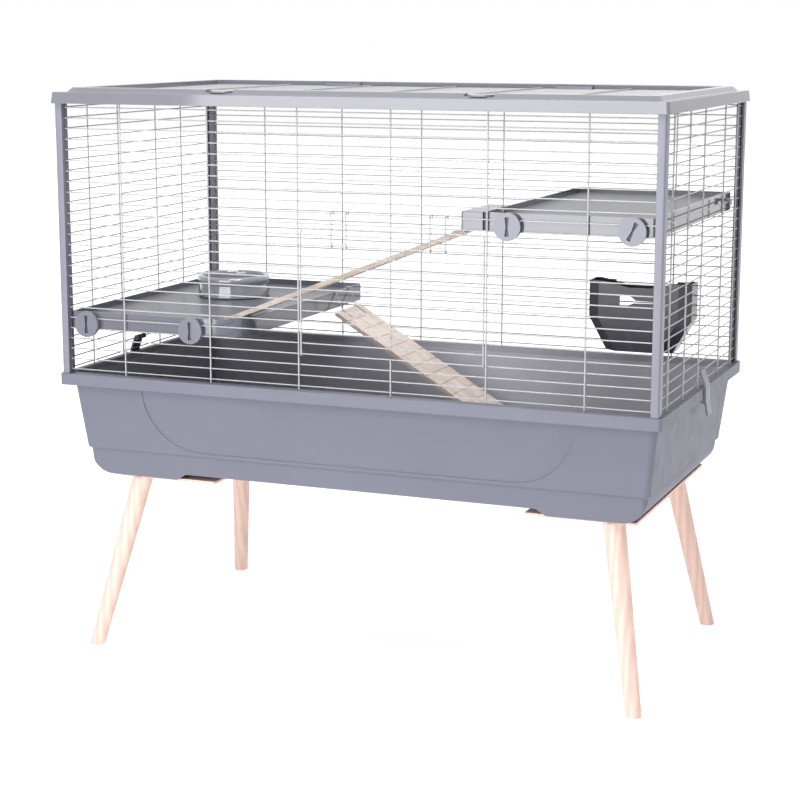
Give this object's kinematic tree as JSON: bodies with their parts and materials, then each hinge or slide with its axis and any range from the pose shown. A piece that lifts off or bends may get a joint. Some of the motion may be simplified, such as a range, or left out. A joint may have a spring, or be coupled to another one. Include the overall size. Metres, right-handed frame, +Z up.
{
  "type": "rodent cage",
  "caption": "Wire cage for small rodents on splayed wooden legs: deep plastic tub, wire sides with a drop-down door, hinged wire roof, shelf trays with ramps, bowl and hay rack.",
  "frame": {"origin": "on the floor, under the middle of the cage", "axes": "+X along the length, to the right seen from the door side; +Y to the back; +Z up"},
  "size_m": [1.019, 0.546, 0.9235],
  "materials": {
    "lavender_plastic": "satin moulded plastic",
    "pale_lavender_plastic": "semi-gloss moulded plastic",
    "dark_grey_plastic": "satin moulded plastic",
    "grey_gloss_plastic": "glossy moulded plastic",
    "white_wire": "white coated wire",
    "steel_fastener": "zinc plated",
    "pale_wood": "pale sealed wood",
    "tan_wood": "raw plywood"
  },
  "bodies": {
    "cage": {"tub": "lavender_plastic", "leg_board_left": "pale_wood", "leg_board_right": "pale_wood", "leg_front_left": "pale_wood", "leg_front_right": "pale_wood", "leg_back_left": "pale_wood", "leg_back_right": "pale_wood", "leg_studs": "steel_fastener", "board_screws": "steel_fastener", "post_front_left": "lavender_plastic", "post_front_right": "lavender_plastic", "post_back_left": "lavender_plastic", "post_back_right": "lavender_plastic", "front_panel": "white_wire", "back_panel": "white_wire", "left_panel": "white_wire", "right_panel": "white_wire", "lid_frame": "lavender_plastic", "hatch_brackets": "lavender_plastic", "left_tray": "lavender_plastic", "right_tray": "pale_lavender_plastic", "ramp_landing": "lavender_plastic", "left_tray_hook": "lavender_plastic", "right_tray_hook": "lavender_plastic"},
    "front_door_body": {"front_door": "white_wire"},
    "door_hook_left_body": {"door_hook_left": "white_wire"},
    "door_hook_right_body": {"door_hook_right": "white_wire"},
    "roof_hatch_body": {"roof_hatch": "white_wire"},
    "hatch_clip_left_body": {"hatch_clip_left": "pale_lavender_plastic"},
    "hatch_clip_right_body": {"hatch_clip_right": "pale_lavender_plastic"},
    "knob_left_outer_body": {"knob_left_outer": "pale_lavender_plastic"},
    "knob_left_inner_body": {"knob_left_inner": "pale_lavender_plastic"},
    "knob_right_inner_body": {"knob_right_inner": "pale_lavender_plastic"},
    "knob_right_outer_body": {"knob_right_outer": "pale_lavender_plastic"},
    "rim_clip_left_body": {"rim_clip_left": "dark_grey_plastic"},
    "rim_clip_right_body": {"rim_clip_right": "pale_lavender_plastic"},
    "bowl_body": {"bowl": "grey_gloss_plastic"},
    "hay_rack_body": {"hay_rack": "dark_grey_plastic"},
    "lower_ramp_body": {"lower_ramp": "tan_wood", "lower_ramp_hooks": "white_wire"},
    "upper_ramp_body": {"upper_ramp": "tan_wood", "upper_ramp_hooks": "white_wire"}
  },
  "joints": [
    {"name": "door_hinge", "type": "hinge", "parent": "cage", "child": "front_door_body", "pos_m": [0.0766, -0.259, 0.52175], "axis": [1, 0, 0], "range_deg": [0, 135]},
    {"name": "door_hook_left_pivot", "type": "hinge", "parent": "front_door_body", "child": "door_hook_left_body", "pos_m": [-0.00873, -0.259, 0.69025], "axis": [1, 0, 0], "range_deg": [0, 100]},
    {"name": "door_hook_right_pivot", "type": "hinge", "parent": "front_door_body", "child": "door_hook_right_body", "pos_m": [0.15213, -0.259, 0.69025], "axis": [1, 0, 0], "range_deg": [0, 100]},
    {"name": "roof_hatch_hinge", "type": "hinge", "parent": "cage", "child": "roof_hatch_body", "pos_m": [0, 0.228, 0.9145], "axis": [-1, 0, 0], "range_deg": [0, 90]},
    {"name": "hatch_clip_left_pivot", "type": "hinge", "parent": "roof_hatch_body", "child": "hatch_clip_left_body", "pos_m": [-0.212, -0.228, 0.9145], "axis": [-1, 0, 0], "range_deg": [0, 90]},
    {"name": "hatch_clip_right_pivot", "type": "hinge", "parent": "roof_hatch_body", "child": "hatch_clip_right_body", "pos_m": [0.212, -0.228, 0.9145], "axis": [-1, 0, 0], "range_deg": [0, 90]},
    {"name": "knob_left_outer_turn", "type": "hinge", "parent": "cage", "child": "knob_left_outer_body", "pos_m": [-0.451, -0.259, 0.54652], "axis": [0, 1, 0], "range_deg": [0, 90]},
    {"name": "knob_left_inner_turn", "type": "hinge", "parent": "cage", "child": "knob_left_inner_body", "pos_m": [-0.2635, -0.259, 0.54652], "axis": [0, 1, 0], "range_deg": [0, 90]},
    {"name": "knob_right_inner_turn", "type": "hinge", "parent": "cage", "child": "knob_right_inner_body", "pos_m": [0.262, -0.259, 0.73187], "axis": [0, 1, 0], "range_deg": [0, 90]},
    {"name": "knob_right_outer_turn", "type": "hinge", "parent": "cage", "child": "knob_right_outer_body", "pos_m": [0.4505, -0.259, 0.73187], "axis": [0, 1, 0], "range_deg": [-25, 65]},
    {"name": "rim_clip_left_pivot", "type": "hinge", "parent": "cage", "child": "rim_clip_left_body", "pos_m": [-0.4925, -0.02, 0.48805], "axis": [0, 1, 0], "range_deg": [0, 100]},
    {"name": "rim_clip_right_pivot", "type": "hinge", "parent": "cage", "child": "rim_clip_right_body", "pos_m": [0.4925, 0.01, 0.48805], "axis": [0, -1, 0], "range_deg": [0, 100]},
    {"name": "bowl_lift", "type": "slide", "parent": "cage", "child": "bowl_body", "axis": [0, 0, 1], "range_m": [0, 0.15]},
    {"name": "hay_rack_lift", "type": "slide", "parent": "cage", "child": "hay_rack_body", "axis": [0, 0, 1], "range_m": [0, 0.008]},
    {"name": "lower_ramp_pivot", "type": "hinge", "parent": "cage", "child": "lower_ramp_body", "pos_m": [-0.1815, 0.144, 0.5645], "axis": [0, -1, 0], "range_deg": [0, 40]},
    {"name": "upper_ramp_pivot", "type": "hinge", "parent": "cage", "child": "upper_ramp_body", "pos_m": [0.1885, -0.186, 0.727], "axis": [0, 1, 0], "range_deg": [0, 30]}
  ]
}
